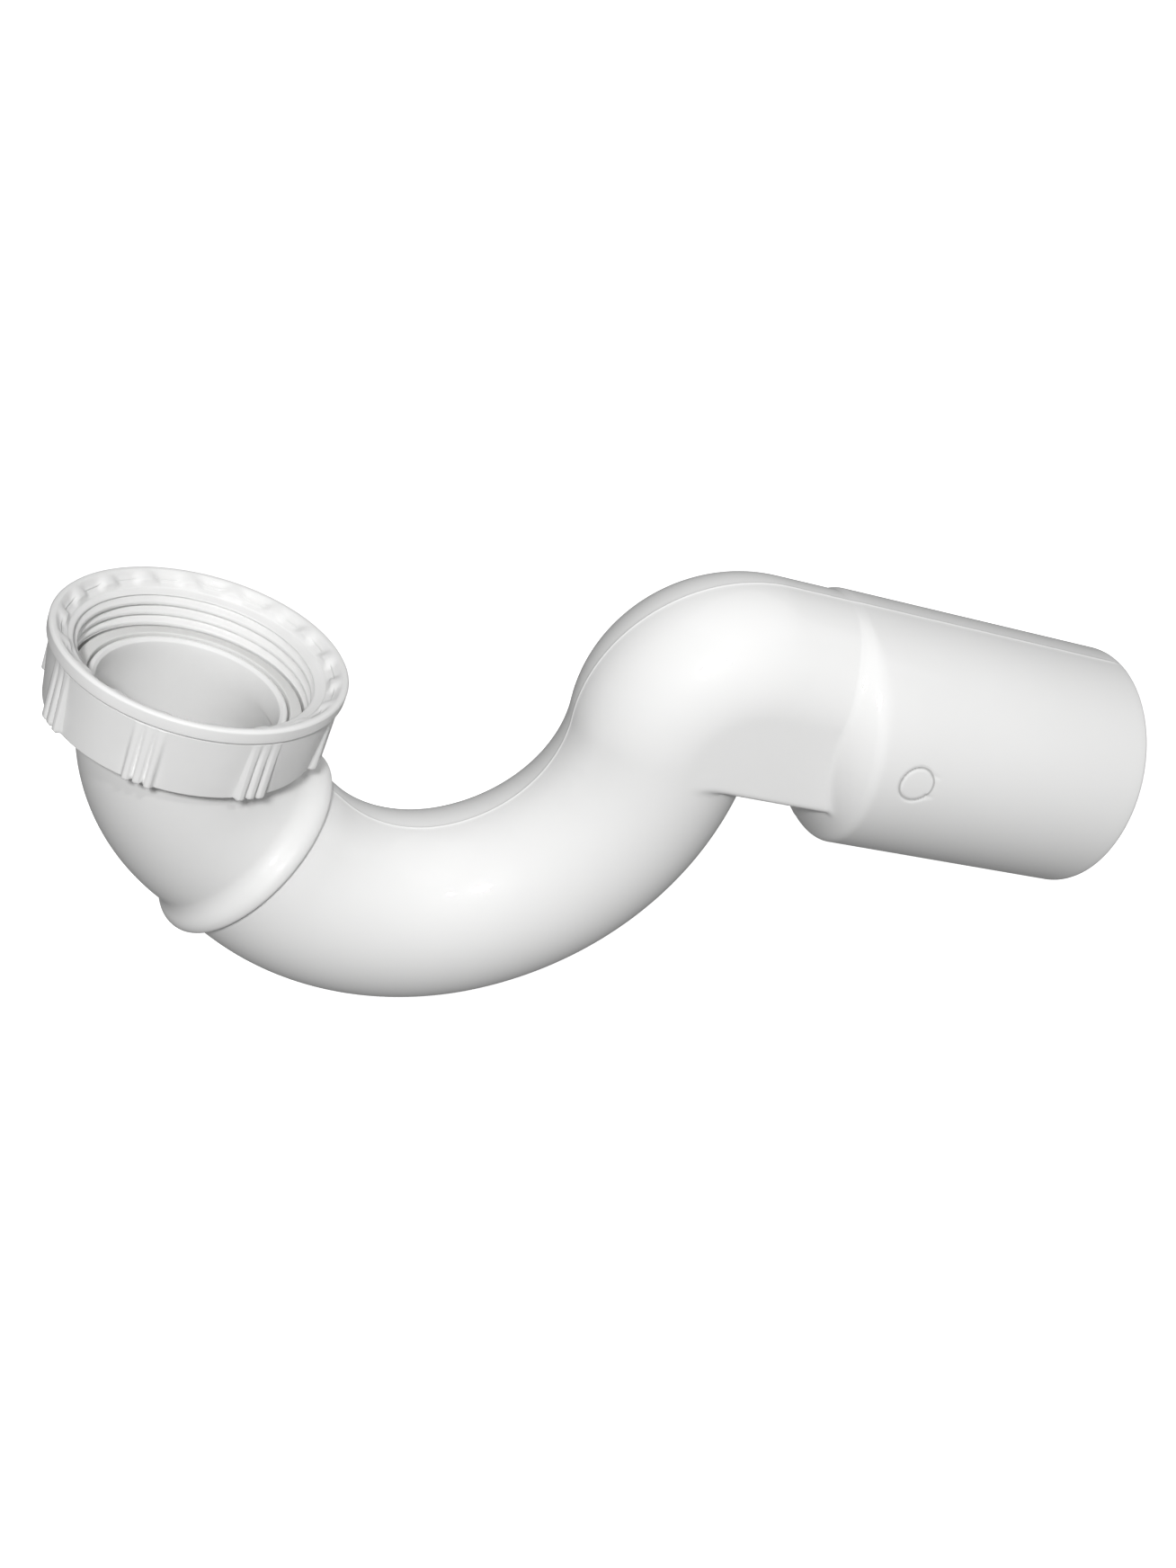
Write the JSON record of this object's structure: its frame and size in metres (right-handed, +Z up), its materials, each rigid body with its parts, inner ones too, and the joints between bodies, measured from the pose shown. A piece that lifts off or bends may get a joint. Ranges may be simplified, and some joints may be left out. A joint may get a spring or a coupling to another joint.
{
  "type": "waste trap",
  "caption": "Low bath waste trap: captive threaded inlet nut, bent inlet with a rounded collar, one-piece low bend and a larger eccentric outlet spigot.",
  "frame": {"origin": "on the inlet axis at the top face of the sealing washer, inside the coupling nut", "axes": "+Z up along the inlet axis, the way the waste fitting leaves the nut; +X along the outlet, the way the waste pipe leaves the spigot"},
  "size_m": [0.2239, 0.057, 0.1135],
  "materials": {
    "bend_gloss": "smooth glossy white moulding",
    "elbow_satin": "satin white moulding",
    "nut_satin": "satin white moulding",
    "washer_rubber": "pale matt washer"
  },
  "bodies": {
    "trap": {"trap_bend": "bend_gloss", "inlet_elbow": "elbow_satin", "sealing_washer": "washer_rubber"},
    "nut": {"coupling_nut": "nut_satin"}
  },
  "joints": [
    {"name": "nut_spin", "type": "hinge", "parent": "trap", "child": "nut", "pos_m": [0, 0, 0], "axis": [0, 0, 1], "continuous": true}
  ]
}
